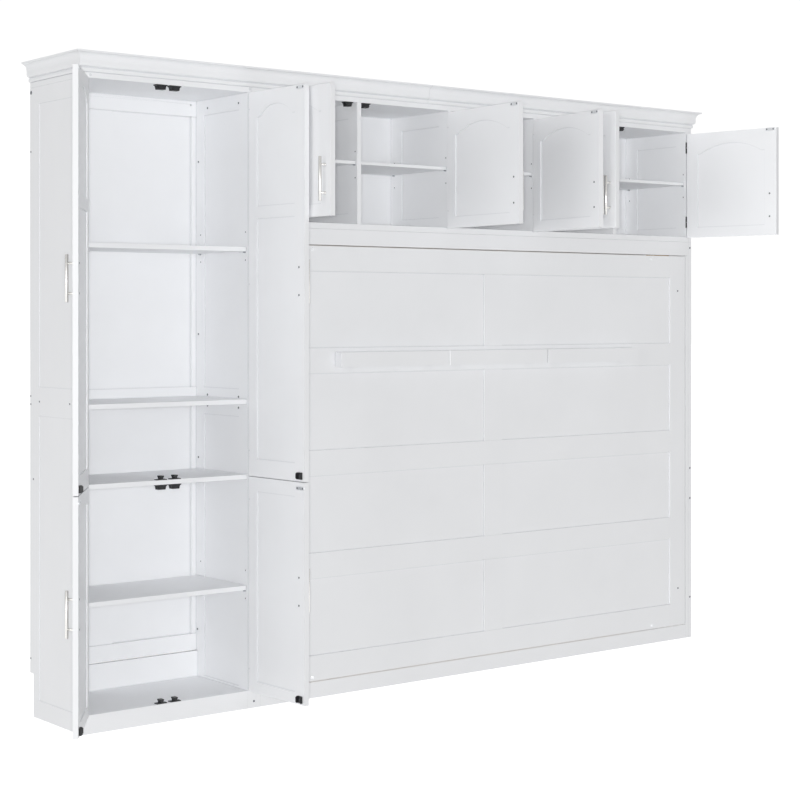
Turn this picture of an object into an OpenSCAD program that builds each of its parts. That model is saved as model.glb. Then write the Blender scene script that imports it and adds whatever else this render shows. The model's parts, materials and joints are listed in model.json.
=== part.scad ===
// Wall bed cabinet: a wardrobe tower, a side-tilting bed behind a panelled front,
// and a row of overhead cupboards under one crown moulding.
// Millimetres. +X runs along the front to the right, +Y towards the wall, +Z up.
// The origin is on the floor, at the wall line, in the middle of the cabinet's width.

/* [Overall] */
// Width of the wardrobe tower
wardrobe_w = 676; // [560:2:760]
// Width of the bed cabinet
bed_w = 2284; // [2240:2:2400]
// Depth of the carcass, without the doors
depth = 380; // [360:2:460]
// Height of the carcass, up to the crown
carcass_h = 2216; // [2180:2:2260]
// Thickness of the carcass boards
board_t = 18; // [16:1:20]
// Thickness of the top boards
top_t = 20; // [18:1:25]

/* [Crown] */
// Height of the crown moulding
crown_h = 68; // [50:1:90]
// How far the crown stands out of the carcass
crown_out = 33; // [22:1:45]

/* [Bed front] */
// Height of the bed front
leaf_h = 1595; // [1590:1:1620]
// Height of the bed front's lower edge above the floor
leaf_z = 62; // [58:1:70]
// Gap round the bed front
leaf_gap = 3.5; // [2.5:0.5:5]
// Thickness of the bed front
leaf_t = 18; // [16:1:20]
// Width of the bed front's rails
leaf_rail = 93; // [80:1:100]
// Width of the bed front's stiles
leaf_stile = 94; // [80:1:110]
// Depth of the recess in front of each panel
leaf_recess = 5; // [3:0.5:7]

/* [Bed inside] */
// Length of the mattress space
mattress_l = 2036; // [2032:1:2050]
// Width of the mattress space
mattress_w = 1530; // [1524:1:1536]
// Depth of the box rails round the mattress
box_d = 132; // [110:1:150]
// Number of slats
slat_count = 13; // [9:1:16]
// Distance of the tilt axis behind the front plane
pivot_y = 100; // [90:1:110]

/* [Foot rail] */
// Length of the folding foot rail
foot_l = 1550; // [1200:2:1700]
// Height of the foot rail when it is folded
foot_h = 55; // [50:1:60]
// Depth of the foot rail when it is folded
foot_d = 40; // [34:1:44]

/* [Doors] */
// Thickness of the doors
door_t = 18; // [16:1:20]
// Gap between neighbouring doors
door_gap = 3.2; // [2.6:0.1:4]
// Gap between a closed door and the carcass
door_off = 2; // [2:0.5:3]
// Width of a door's frame round its recessed field
door_frame = 57; // [45:1:70]
// Depth of the recessed field, on each face
field_d = 4; // [2:0.5:5]
// Height of the arch in a door's upper field
arch_rise = 40; // [20:1:46]
// Opening of the wardrobe's left doors
open_wardrobe_left = 124; // [0:0.1:125]
// Opening of the wardrobe's right doors
open_wardrobe_right = 92.5; // [0:0.1:92.5]
// Opening of the first overhead door
open_a = 89.7; // [0:0.1:89.9]
// Opening of the second overhead door
open_b = 87.5; // [0:0.1:99]
// Opening of the third overhead door
open_c = 82.8; // [0:0.1:83]
// Opening of the fourth overhead door
open_d = 88.8; // [0:0.1:89]
// Opening of the fifth overhead door
open_e = 99.3; // [0:0.1:100]

/* [Handles] */
// Length of a bar handle
handle_l = 152; // [130:1:170]
// Distance between a handle's screws
handle_pitch = 96; // [76:1:128]
// Diameter of the bar
handle_bar = 11; // [9:0.5:12]
// Distance of the bar's centre from the door
handle_out = 22; // [20:1:24]

/* [Hidden] */
$fn = 48;

PAINT = "#eceef1";
INSIDE = "#dfe3e8";
TIMBER = "#d8c49c";
STEEL = "#a9a8a4";
DARK = "#26272a";

// Overall stations, from the left side, the front plane and the floor
total_w = wardrobe_w + bed_w;
ceiling_z = carcass_h - top_t;
split_z = 830;            // joint between upper and lower wardrobe doors
door_top_z = ceiling_z - 3;
fixed_shelf_z = 1086;     // underside of the shelf that ties the tower together
catch_shelf_z = 818;      // underside of the shelf behind the door joint
loose_shelf_z = [1629, 422];
shelf_t = 16;
floor_z = 46;
joint_line = 0.2;         // fine line between boards that butt together in one node
plinth_h = 59;
notch_h = 151;            // cut-out for a skirting board
notch_d = 26;

// Back of the carcass
back_y = 362;             // front face of the thin back boards
back_t = 6;
rail_y = back_y - board_t;

// Bed cabinet
bed_x = wardrobe_w;
post_w = 18;
post_d = 40;
bed_in_l = bed_x + board_t;
bed_in_r = total_w - board_t;
deck_z = 1720;
deck_t = 22;
leaf_top = leaf_z + leaf_h;
leaf_l = bed_in_l + post_w + leaf_gap;
leaf_r = bed_in_r - post_w - leaf_gap;
leaf_w = leaf_r - leaf_l;
header_z = leaf_top + leaf_gap;
row_h = (leaf_h - 5 * leaf_rail) / 4;
panel_t = 9;

// Tilt axis: the folded-out foot rail sets how high the open bed lies
foot_back = 22;           // from the foot's pin to its rear face
foot_down = 13;           // from the foot's pin to its lower face
foot_gap = 1;             // between the foot and the bed front
foot_y = -(foot_back + foot_gap);
open_clear = foot_h - foot_down + foot_back + foot_gap + 1;
pivot_z = pivot_y + open_clear;

// Box round the mattress
box_l = (bed_in_l + bed_in_r - mattress_l) / 2;
box_r = box_l + mattress_l;
box_z0 = leaf_z + (leaf_h - mattress_w) / 2 + 2;
box_z1 = box_z0 + mattress_w;
slat_y = 50;
slat_t = 18;
slat_w = 80;

// Gas struts: pinned high on the cabinet and low on the tilting box
strut_top = [250, 800];
strut_low = [pivot_y + 27, pivot_z - 54];
strut_vec = strut_low - strut_top;
strut_len = norm(strut_vec);
strut_tilt = atan2(-strut_vec[0], -strut_vec[1]);
strut_x = 43;             // strut's centre from the cabinet side
strut_body_l = 420;
strut_body_r = 11;
strut_rod_r = 5;
strut_rod_l = strut_len - strut_body_l + 60;
run_clear = 0.06;

// Overhead row
row_l = bed_in_l + 3;
row_r = bed_in_r - 3;
bay_w = (row_r - row_l) / 5;
overhead_door_z = deck_z + deck_t - 3;
overhead_top_z = ceiling_z - 8;
overhead_shelf_z = 1966;
overhead_shelf_t = 12;

// A door's axis lies as far from its hinge edge as from its inner face
axis_in = door_t / 2;
end_axis_in = 5.2;        // the same for the last overhead door
edge_round = 4;
wardrobe_door_w = (wardrobe_w - 2 * door_gap) / 2;
overhead_door_w = bay_w - door_gap;
wardrobe_upper_h = door_top_z - split_z - door_gap / 2;
wardrobe_lower_z = 65;
wardrobe_lower_h = split_z - door_gap / 2 - wardrobe_lower_z;
overhead_door_h = overhead_top_z - overhead_door_z;

// ---------------------------------------------------------------- helpers

// Everything is drawn from the left side, the front plane and the floor.
module cabinet() {
    translate([-total_w / 2, -depth, 0]) children();
}

// A board between two corners.
module board(a, b) {
    translate(a) cube(b - a);
}

// A round bar along X, centred on a point given in Y and Z.
module bar_x(x0, x1, p, r) {
    translate([x0, p[0], p[1]]) rotate([0, 90, 0]) cylinder(h = x1 - x0, r = r);
}

// A board in the Y-Z plane with recessed fields sunk into its left and right faces.
module fielded_side(x, y1, z0, z1, left_fields, right_fields, left_d = field_d) {
    difference() {
        board([x, 0, z0], [x + board_t, y1, z1]);
        for (f = left_fields)
            board([x - 1, f[0], f[1]], [x + left_d, f[2], f[3]]);
        for (f = right_fields)
            board([x + board_t - field_d, f[0], f[1]], [x + board_t + 1, f[2], f[3]]);
    }
}

// Cut-out at the bottom rear corner, for a skirting board.
module skirting_notch(x) {
    board([x - 1, depth - notch_d, -1], [x + board_t + 1, depth + 1, notch_h]);
}

// Holes for shelf pins in a face that looks along +X (dir 1) or -X (dir -1).
pin_r = 2.5;
tower_rows = [14, 316];
overhead_rows = [14, 340];
module pin_holes(x, dir, rows, levels) {
    for (z = levels, y = rows)
        bar_x(min(x - dir * 8, x + dir), max(x - dir * 8, x + dir), [y, z], pin_r + 0.05);
}

// Pins that carry a shelf whose underside is at z, between two faces.
module pins_under(x0, x1, rows, z) {
    for (y = rows) {
        bar_x(x0 - 7.5, x0 + 9, [y, z - pin_r], pin_r);
        bar_x(x1 - 9, x1 + 7.5, [y, z - pin_r], pin_r);
    }
}

// ---------------------------------------------------------------- wardrobe

outer_fields = [[57, 64, 310, 1053], [57, 1152, 310, 2137]];
outer_field_d = 2;
inner_fields = [[57, 72, 292, 1040], [57, 1136, 292, 2140]];

module wardrobe_pin_holes(x, dir) {
    for (z = loose_shelf_z)
        pin_holes(x, dir, tower_rows, [for (s = [-28, 0, 72]) z - pin_r + s]);
}

module wardrobe_side_left() color(PAINT) cabinet() {
    difference() {
        fielded_side(0, depth, 0, ceiling_z, outer_fields, inner_fields, outer_field_d);
        skirting_notch(0);
        wardrobe_pin_holes(board_t, 1);
    }
}

module wardrobe_side_right() color(PAINT) cabinet() {
    difference() {
        fielded_side(wardrobe_w - board_t, depth, 0, ceiling_z, inner_fields, []);
        skirting_notch(wardrobe_w - board_t);
        wardrobe_pin_holes(wardrobe_w - board_t, -1);
    }
}

module tower_board(y0, y1, z0, z1) {
    board([board_t, y0, z0], [wardrobe_w - board_t, y1, z1]);
}

// The top boards lie over the sides and carry the crown.
module wardrobe_top() color(PAINT) cabinet()
    board([0, 0, ceiling_z], [wardrobe_w, depth, carcass_h]);

module wardrobe_floor() color(INSIDE) cabinet()
    tower_board(board_t, rail_y - 8, floor_z, floor_z + board_t);

module wardrobe_plinth() color(PAINT) cabinet()
    tower_board(0, board_t, 0, floor_z + board_t);

module wardrobe_fixed_shelves() color(INSIDE) cabinet() {
    for (z = [fixed_shelf_z, catch_shelf_z])
        tower_board(4, rail_y, z, z + shelf_t);
}

module wardrobe_loose_shelves() color(INSIDE) cabinet() {
    for (z = loose_shelf_z)
        board([board_t + 1, 8, z], [wardrobe_w - board_t - 1, rail_y - 2, z + shelf_t]);
}

back_rail_z = [[161, 221], [1102, 1136], [2138, ceiling_z]];
batten_x = [[board_t, 36], [196, 306], [640, wardrobe_w - board_t]];

// Screw holes through the tower's top rail and back, towards the wall.
module tower_wall_holes() {
    for (x = wall_screw_tower)
        translate([x, rail_y - 1, wall_screw_z[1]])
            rotate([-90, 0, 0]) cylinder(h = depth - rail_y + 2, r = wall_screw_r);
}

// Rails and battens stiffen the thin back; the lowest board steps round the skirting.
module wardrobe_back_rails() color(INSIDE) cabinet() {
    difference() {
        for (z = back_rail_z) tower_board(rail_y, back_y, z[0], z[1]);
        tower_wall_holes();
    }
    for (i = [0, 1], x = batten_x)
        board([x[0], rail_y + 4, back_rail_z[i][1] + joint_line],
              [x[1], back_y, back_rail_z[i + 1][0] - joint_line]);
    tower_board(rail_y - 8, rail_y + board_t - 8, 0, back_rail_z[0][0] - 3);
}

// Thin backs behind the tower and behind the overhead row.
module back_boards() color(INSIDE) cabinet() {
    difference() {
        tower_board(back_y, back_y + back_t, back_rail_z[0][0], ceiling_z);
        tower_wall_holes();
    }
    board([bed_in_l, back_y, deck_z + deck_t], [bed_in_r, back_y + back_t, ceiling_z]);
}

// ---------------------------------------------------------------- bed cabinet

bush_r = 16;
pin_main_r = 10;
bush_depth = 12;

module bed_sides() color(PAINT) cabinet() {
    difference() {
        board([bed_x, 0, 0], [bed_in_l, depth, deck_z]);
        skirting_notch(bed_x);
        bar_x(bed_in_l - bush_depth, bed_in_l + 1, [pivot_y, pivot_z], bush_r);
    }
    difference() {
        board([bed_in_r, 0, 0], [total_w, depth, deck_z]);
        skirting_notch(bed_in_r);
        bar_x(bed_in_r - 1, bed_in_r + bush_depth, [pivot_y, pivot_z], bush_r);
    }
}

// Posts that thicken the front edges of the bed cabinet.
module front_posts() color(PAINT) cabinet() {
    for (x = [bed_in_l, bed_in_r - post_w])
        board([x, 0, 0], [x + post_w, post_d, header_z]);
}

module bed_header() color(PAINT) cabinet()
    board([bed_in_l, 0, header_z], [bed_in_r, board_t, deck_z]);

// The plinth's top slopes back, so that the bed front's lower edge can swing past it.
// A low rail behind the swing ties the two sides together.
module bed_plinth() color(PAINT) cabinet() {
    translate([bed_in_l + post_w, 0, 0]) rotate([90, 0, 90])
        linear_extrude(bed_in_r - bed_in_l - 2 * post_w)
            polygon([[0, 0], [board_t, 0], [board_t, plinth_h - 14], [0, plinth_h]]);
    board([bed_in_l, 200, 0], [bed_in_r, 200 + board_t, 40]);
}

wall_rail_z = [1560, deck_z];
wall_screw_r = 3;
wall_screw_bed = [wardrobe_w + 242, total_w - 242];
wall_screw_tower = [43, 633];
wall_screw_z = [1580, 2180];
wall_screw_pitch = 60;

module bed_back_rails() color(INSIDE) cabinet() {
    difference() {
        board([bed_in_l, back_y, wall_rail_z[0]], [bed_in_r, depth, wall_rail_z[1]]);
        for (x = wall_screw_bed, z = [0, wall_screw_pitch])
            translate([x, back_y - 1, wall_screw_z[0] + z])
                rotate([-90, 0, 0]) cylinder(h = board_t + 2, r = wall_screw_r);
    }
    board([bed_in_l, back_y, 160], [bed_in_r, depth, 260]);
}

// Cleats behind the header stop the closed bed.
module bed_stops() color(TIMBER) cabinet() {
    for (x = [bed_x + 120, total_w - 240])
        board([x, board_t + 0.5, leaf_top - 10], [x + 120, board_t + 22, deck_z]);
}

// ---------------------------------------------------------------- overhead

bay_fields = [[57, deck_z + deck_t + 40, 292, 2140]];
first_shift = 9;          // the first partition stands a little to the right
function bay_x(k) = row_l + k * bay_w;
function wall_x(k) = bay_x(k) + (k == 1 ? first_shift : 0);

// Inner faces of a bay: the first and last bays end at boards beside the carcass ends.
function bay_l(k) = k == 0 ? bed_in_l + post_w : wall_x(k) + board_t / 2;
function bay_r(k) = k == 4 ? bed_in_r - post_w : wall_x(k + 1) - board_t / 2;

module overhead_pin_holes(x, dir) {
    pin_holes(x, dir, overhead_rows, [for (s = [-48, 0, 50]) overhead_shelf_z - pin_r + s]);
}

module overhead_ends() color(PAINT) cabinet() {
    board([bed_x, 0, deck_z], [bed_in_l, depth, ceiling_z]);
    fielded_side(bed_in_r, depth, deck_z, ceiling_z, [], bay_fields);
}

module overhead_deck() color(PAINT) cabinet()
    board([bed_in_l, 0, deck_z], [bed_in_r, depth, deck_z + deck_t]);

module overhead_top() color(PAINT) cabinet()
    board([bed_x, 0, ceiling_z], [total_w, depth, carcass_h]);

module overhead_partitions() color(PAINT) cabinet() {
    z0 = deck_z + deck_t;
    for (k = [1:4]) {
        x = wall_x(k) - board_t / 2;
        difference() {
            fielded_side(x, back_y, z0, ceiling_z, bay_fields, bay_fields);
            overhead_pin_holes(x, -1);
            overhead_pin_holes(x + board_t, 1);
        }
    }
    difference() {
        fielded_side(bed_in_l, back_y, z0, ceiling_z, [], bay_fields);
        overhead_pin_holes(bay_l(0), 1);
    }
    difference() {
        fielded_side(bay_r(4), back_y, z0, ceiling_z, bay_fields, []);
        overhead_pin_holes(bay_r(4), -1);
    }
}

module overhead_shelves() color(INSIDE) cabinet() {
    for (k = [0:4])
        board([bay_l(k) + 1, 10, overhead_shelf_z],
              [bay_r(k) - 1, back_y - 2, overhead_shelf_z + overhead_shelf_t]);
}

// ---------------------------------------------------------------- crown

// Profile: X is the distance out of the carcass, Y the height above it.
// From below: a bead, a groove, an ovolo, a flat, a cove and the top fillet.
bead = [for (a = [-80:20:80]) [2 + 4 * cos(a), 7 + 7 * sin(a)]];
ovolo = [for (a = [0:18:90]) [7.5 + 6 * sin(a), 29 - 12 * cos(a)]];
cove = [for (a = [0:15:90]) [crown_out - 1 - 18 * cos(a), crown_h - 28 + 22 * sin(a)]];
crown_profile = concat(
    [[-board_t, 0]], bead, [[3, 15.5]], ovolo, [[13.5, crown_h - 30]], cove,
    [[crown_out, crown_h - 4.5], [crown_out, crown_h], [-board_t, crown_h]]
);
crown_reach = crown_out + 1;
crown_seam = 1;

// Keeps what lies on one side of a corner's mitre.
module mitre(x, y, turn) {
    translate([x, y, carcass_h - 1]) rotate(turn)
        translate([0, -4 * depth, 0]) cube([4 * depth, 8 * depth, crown_h + 2]);
}

module crown_run(x0, x1) {
    translate([x0, 0, carcass_h]) rotate([90, 0, 90]) linear_extrude(x1 - x0)
        mirror([1, 0]) polygon(crown_profile);
}

module crown_front() color(PAINT) cabinet() {
    difference() {
        crown_run(-crown_reach, (total_w - crown_seam) / 2);
        mitre(0, 0, 135);
    }
    difference() {
        crown_run((total_w + crown_seam) / 2, total_w + crown_reach);
        mitre(total_w, 0, 45);
    }
}

module crown_returns() color(PAINT) cabinet() {
    difference() {
        translate([0, depth, carcass_h]) rotate([90, 0, 0])
            linear_extrude(depth + crown_reach) mirror([1, 0]) polygon(crown_profile);
        mitre(0, 0, -45);
    }
    difference() {
        translate([total_w, depth, carcass_h]) rotate([90, 0, 0])
            linear_extrude(depth + crown_reach) polygon(crown_profile);
        mitre(total_w, 0, -135);
    }
}

// ---------------------------------------------------------------- fixed hardware

upper_hinges = [90, wardrobe_upper_h / 2, wardrobe_upper_h - 60];
lower_hinges = [80, wardrobe_lower_h - 80];
overhead_hinges = [67, overhead_door_h - 59];
hinge_leaf = [8.4, 1.6, 48];
lug_w = 9;
lug_h = 3;
hinge_pin_r = 2;
hinge_pin_l = 34;

// One hinge, drawn about its axis with the door's free edge along +X: a leaf on the
// carcass edge, a lug that reaches into the door, and the pin that the door turns on.
// shift is where the leaf's middle lies along X.
module door_hinge(x, dir, z, shift, inset = axis_in) {
    reach = door_off + inset;
    leaf_x0 = shift - hinge_leaf[0] / 2;
    leaf_y0 = reach - hinge_leaf[1];
    link_x0 = min(-lug_w / 2, leaf_x0);
    link_x1 = max(lug_w / 2, leaf_x0 + hinge_leaf[0]);
    translate([x, -reach, z]) scale([dir, 1, 1]) {
        translate([leaf_x0, leaf_y0, -hinge_leaf[2] / 2]) cube(hinge_leaf);
        board([link_x0, leaf_y0, -lug_h / 2], [link_x1, reach, lug_h / 2]);
        board([-lug_w / 2, 0, -lug_h / 2], [lug_w / 2, reach, lug_h / 2]);
        translate([0, 0, -lug_h / 2]) cylinder(h = lug_h, r = lug_w / 2);
        translate([0, 0, -hinge_pin_l / 2]) cylinder(h = hinge_pin_l, r = hinge_pin_r);
    }
}

// Room in a door for one hinge: the slot that the lug sweeps while the door turns by
// swing, and the hole for the pin.
module hinge_mortise(swing) {
    half_w = lug_w / 2 + 0.5;
    half_h = lug_h / 2 + 0.4;
    far = axis_in + 3;
    translate([0, 0, -half_h]) linear_extrude(2 * half_h) polygon([
        [half_w, -half_w / tan(swing / 2)],
        [half_w, far],
        [-1.3 * far * sin(swing / 2), 1.3 * far * cos(swing / 2)],
        [-half_w * cos(swing) - far * sin(swing), far * cos(swing) - half_w * sin(swing)]
    ]);
    translate([0, 0, -hinge_pin_l / 2 - 0.5])
        cylinder(h = hinge_pin_l + 1, r = hinge_pin_r + run_clear);
}

left_edge = door_gap / 2;
right_edge = wardrobe_w - door_gap / 2;

module door_hinges() color(DARK) cabinet() {
    upper_z = split_z + door_gap / 2;
    tower_hinges = concat([for (h = upper_hinges) upper_z + h],
                          [for (h = lower_hinges) wardrobe_lower_z + h]);
    for (z = tower_hinges) {
        door_hinge(left_edge + axis_in, 1, z, 0);
        door_hinge(right_edge - axis_in, -1, z, 0);
    }
    for (h = overhead_hinges) {
        z = overhead_door_z + h;
        door_hinge(bay_x(0) + door_gap / 2 + axis_in, 1, z, 0);
        for (k = [2, 3])
            door_hinge(bay_x(k) - door_gap / 2 - axis_in, -1, z, -6);
        door_hinge(bay_x(3) + door_gap / 2 + axis_in, 1, z, -6);
        door_hinge(bay_x(5) - door_gap / 2 - end_axis_in, -1, z, 3.8, end_axis_in);
    }
}

tower_catch_x = 27.5;     // from the tower's middle to a catch
first_catch_in = 33;      // from the free edge of the first overhead door to its catch
catch_in = 44;            // the same for the other overhead doors
tower_catch_half = 22;    // half the width of a catch under the tower's boards
bay_catch_half = 19;      // the same for the overhead bays

// A magnet in a tapered case under a board, with its steel poles in front.
module magnet_catch(x, z, half_w) {
    case_w = half_w - 6;
    translate([x, 26, z]) rotate([90, 0, 0]) linear_extrude(22)
        polygon([[-half_w, 0], [half_w, 0], [half_w, -3], [case_w, -5], [case_w - 2, -17],
                 [2 - case_w, -17], [-case_w, -5], [-half_w, -3]]);
    board([x - 11, 0, z - 13], [x + 11, 4, z - 8]);
}

// The headed stud that a door's latch grips.
module latch_stud(x, z) {
    translate([x, 24, z]) rotate([90, 0, 0]) linear_extrude(20)
        polygon([[-20, 0], [20, 0], [20, 3], [5, 3], [5, 9], [8, 10.5], [8, 15],
                 [-8, 15], [-8, 10.5], [-5, 9], [-5, 3], [-20, 3]]);
}

module door_catches() color(DARK) cabinet() {
    for (x = [wardrobe_w / 2 - tower_catch_x, wardrobe_w / 2 + tower_catch_x]) {
        magnet_catch(x, ceiling_z, tower_catch_half);
        magnet_catch(x, catch_shelf_z, tower_catch_half);
        latch_stud(x, catch_shelf_z + shelf_t);
        latch_stud(x, floor_z + board_t);
    }
    magnet_catch(bay_x(1) - door_gap / 2 - first_catch_in, ceiling_z, bay_catch_half);
    for (k = [1, 2, 4])
        magnet_catch(bay_x(k) + door_gap / 2 + catch_in, ceiling_z, bay_catch_half);
    magnet_catch(bay_x(4) - door_gap / 2 - catch_in, ceiling_z, bay_catch_half);
}

module shelf_pins() color(STEEL) cabinet() {
    for (z = loose_shelf_z)
        pins_under(board_t, wardrobe_w - board_t, tower_rows, z);
    for (k = [0:4])
        pins_under(bay_l(k), bay_r(k), overhead_rows, overhead_shelf_z);
}

module pivot_bush(x0, x1, flange0, flange1) {
    difference() {
        union() {
            bar_x(x0, x1, [pivot_y, pivot_z], bush_r - 0.05);
            bar_x(flange0, flange1, [pivot_y, pivot_z], bush_r + 8);
        }
        bar_x(min(x0, flange0) - 1, max(x1, flange1) + 1, [pivot_y, pivot_z],
              pin_main_r + run_clear);
    }
}

module pivot_bushes() color(DARK) cabinet() {
    pivot_bush(bed_in_l - bush_depth, bed_in_l, bed_in_l, bed_in_l + 3);
    pivot_bush(bed_in_r, bed_in_r + bush_depth, bed_in_r - 3, bed_in_r);
}

stud_r = 5;

// Upper strut studs: a foot plate on the cabinet side and a stud through the eye.
module strut_studs() color(STEEL) cabinet() {
    for (s = [[bed_in_l, 1], [bed_in_r, -1]])
        translate([s[0], 0, 0]) scale([s[1], 1, 1]) {
            board([0, strut_top[0] - 22, strut_top[1] - 30],
                  [4, strut_top[0] + 22, strut_top[1] + 30]);
            bar_x(4, strut_x + 9, strut_top, stud_r);
            bar_x(strut_x + 9, strut_x + 12, strut_top, stud_r + 4);
        }
}

// ---------------------------------------------------------------- tilting bed

function rail_z(i) = leaf_z + i * (leaf_rail + row_h);

module bed_face_rails() color(PAINT) cabinet() {
    for (i = [0:4])
        board([leaf_l + leaf_stile, 0, rail_z(i)],
              [leaf_r - leaf_stile, leaf_t, rail_z(i) + leaf_rail]);
}

module bed_face_stiles() color(PAINT) cabinet() {
    board([leaf_l, 0, leaf_z], [leaf_l + leaf_stile, leaf_t, leaf_top]);
    board([leaf_r - leaf_stile, 0, leaf_z], [leaf_r, leaf_t, leaf_top]);
    mid = (leaf_l + leaf_r) / 2;
    for (i = [0:3])
        board([mid - leaf_stile / 2, 0, rail_z(i) + leaf_rail],
              [mid + leaf_stile / 2, leaf_t, rail_z(i + 1)]);
}

module bed_face_panels() color(PAINT) cabinet() {
    mid = (leaf_l + leaf_r) / 2;
    for (i = [0:3], x = [[leaf_l + leaf_stile, mid - leaf_stile / 2],
                         [mid + leaf_stile / 2, leaf_r - leaf_stile]])
        board([x[0], leaf_recess, rail_z(i) + leaf_rail],
              [x[1], leaf_recess + panel_t, rail_z(i + 1)]);
}

// Long rails of the box that holds the mattress.
module bed_box_rails() color(TIMBER) cabinet() {
    for (z = [box_z0 - board_t, box_z1])
        board([box_l, leaf_t, z], [box_r, leaf_t + box_d, z + board_t]);
}

// End boards of the box, and the ledgers and middle beam that carry the slats.
module bed_box_ends() color(TIMBER) cabinet() {
    for (x = [box_l - board_t, box_r])
        board([x, leaf_t, box_z0 - board_t], [x + board_t, leaf_t + box_d, box_z1 + board_t]);
    for (z = [box_z0, (box_z0 + box_z1) / 2 - 15, box_z1 - 30])
        board([box_l + 1, leaf_t, z], [box_r - 1, slat_y, z + 30]);
}

module bed_slats() color(TIMBER) cabinet() {
    pitch = (mattress_l - slat_w - 40) / (slat_count - 1);
    for (i = [0:slat_count - 1])
        board([box_l + 20 + i * pitch, slat_y, box_z0 + 1],
              [box_l + 20 + i * pitch + slat_w, slat_y + slat_t, box_z1 - 1]);
}

// Steel plate with the tilt pin and the lower strut stud, for the left end.
module pivot_plate_left() {
    x1 = box_l - board_t;
    x0 = x1 - 5;
    hull() {
        bar_x(x0, x1, [pivot_y, pivot_z + 90], 26);
        bar_x(x0, x1, [pivot_y, pivot_z], 34);
        bar_x(x0, x1, strut_low, 16);
    }
    bar_x(bed_in_l - bush_depth + 1, x0, [pivot_y, pivot_z], pin_main_r);
    bar_x(bed_in_l + strut_x + 9, x0, strut_low, stud_r + 2);
}

module pivot_plates() color(STEEL) cabinet() {
    pivot_plate_left();
    translate([bed_in_l + bed_in_r, 0, 0]) mirror([1, 0, 0]) pivot_plate_left();
}

// ---------------------------------------------------------------- foot rail

foot_z0 = rail_z(3) + (leaf_rail - foot_h) / 2 + 2.5;
foot_pin = [foot_y, foot_z0 + foot_down];
foot_pin_r = 3;
foot_seam = 1.6;
foot_part_l = (foot_l - 2 * foot_seam) / 3;
foot_l0 = (leaf_l + leaf_r - foot_l) / 2;
lug_t = 4;
lug_in = 70;
function foot_x(k) = foot_l0 + k * (foot_part_l + foot_seam);
function lug_x(k) = [foot_x(k) + lug_in, foot_x(k) + foot_part_l - lug_in];

// Each lug is screwed to the bed front and holds a pin through the foot.
module foot_lug(x) {
    translate([x - lug_t / 2, 0, 0]) rotate([90, 0, 90]) linear_extrude(lug_t) {
        translate(foot_pin) circle(r = 8);
        translate([foot_pin[0], foot_pin[1] - 8]) square([-foot_pin[0] - 3, 16]);
    }
    board([x - 14, -3, foot_pin[1] - 8], [x + 14, 0, foot_pin[1] + 8]);
    bar_x(x - 20, x + 20, foot_pin, foot_pin_r);
}

module foot_hinges() color(STEEL) cabinet() {
    for (k = [0:2], x = lug_x(k)) foot_lug(x);
}

// One third of the foot rail, notched round its two lugs; bevel eases its ends.
module foot_part(k, bevel) {
    difference() {
        translate([foot_x(k), 0, 0]) rotate([90, 0, 90]) linear_extrude(foot_part_l)
            difference() {
                translate([-foot_gap - foot_d, foot_z0]) square([foot_d, foot_h]);
                difference() {
                    translate([-foot_gap - 8, foot_z0]) square(9);
                    translate([-foot_gap - 8, foot_z0 + 8]) circle(r = 8);
                }
            }
        for (x = [foot_x(k), foot_x(k) + foot_part_l])
            translate([x, -foot_gap - foot_d, foot_z0 - 1]) rotate(45)
                translate([-bevel, -bevel, 0]) cube([2 * bevel, 2 * bevel, foot_h + 2]);
        for (x = lug_x(k)) {
            bar_x(x - 21, x + 21, foot_pin, foot_pin_r + run_clear);
            bar_x(x - 4, x + 4, foot_pin, 10);
            board([x - 4, foot_pin[0], foot_z0 - 1], [x + 4, 0, foot_pin[1] + 10]);
            board([x - 4, foot_pin[0] - 9, foot_z0 - 1], [x + 4, 0, foot_pin[1]]);
            board([x - 15.5, -foot_gap - 7.5, foot_z0 - 1], [x + 15.5, 0, foot_pin[1] + 10]);
        }
    }
}

module foot_rail_left() color(PAINT) cabinet() foot_part(0, 0.7);
module foot_rail_centre() color(PAINT) cabinet() foot_part(1, 3);
module foot_rail_right() color(PAINT) cabinet() foot_part(2, 0.7);

// ---------------------------------------------------------------- gas struts

// Draws along the strut: the origin is the upper eye, +Z points back up from the low end.
module strut_axis(x) {
    translate([x, strut_top[0], strut_top[1]]) rotate([-strut_tilt, 0, 0]) children();
}

module strut_cylinder(x) {
    strut_axis(x) difference() {
        union() {
            translate([0, 0, -strut_body_l]) cylinder(h = strut_body_l - 24, r = strut_body_r);
            translate([0, 0, -26]) cylinder(h = 18, r = 5);
            rotate([0, 90, 0]) cylinder(h = 14, r = 10, center = true);
        }
        translate([0, 0, -strut_body_l - 1])
            cylinder(h = strut_body_l - 220, r = strut_rod_r + run_clear);
        rotate([0, 90, 0]) cylinder(h = 20, r = stud_r + run_clear, center = true);
    }
}

module strut_rod(x) {
    strut_axis(x) translate([0, 0, -strut_len]) {
        translate([0, 0, 6]) cylinder(h = strut_rod_l - 6, r = strut_rod_r);
        rotate([0, 90, 0]) cylinder(h = 16, r = 9, center = true);
    }
}

module strut_cylinder_left() color(DARK) cabinet() strut_cylinder(bed_in_l + strut_x);
module strut_cylinder_right() color(DARK) cabinet() strut_cylinder(bed_in_r - strut_x);
module strut_rod_left() color(STEEL) cabinet() strut_rod(bed_in_l + strut_x);
module strut_rod_right() color(STEEL) cabinet() strut_rod(bed_in_r - strut_x);

// ---------------------------------------------------------------- doors

// Hangs a door drawn with its axis at the origin and its free edge along +X.
// side is 1 for a left-hinged door and -1 for a right-hinged one.
module hung(edge_x, side, z, angle, inset = axis_in) {
    cabinet() translate([edge_x + side * inset, -door_off - inset, z])
        scale([side, 1, 1]) rotate(-angle) children();
}

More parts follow.
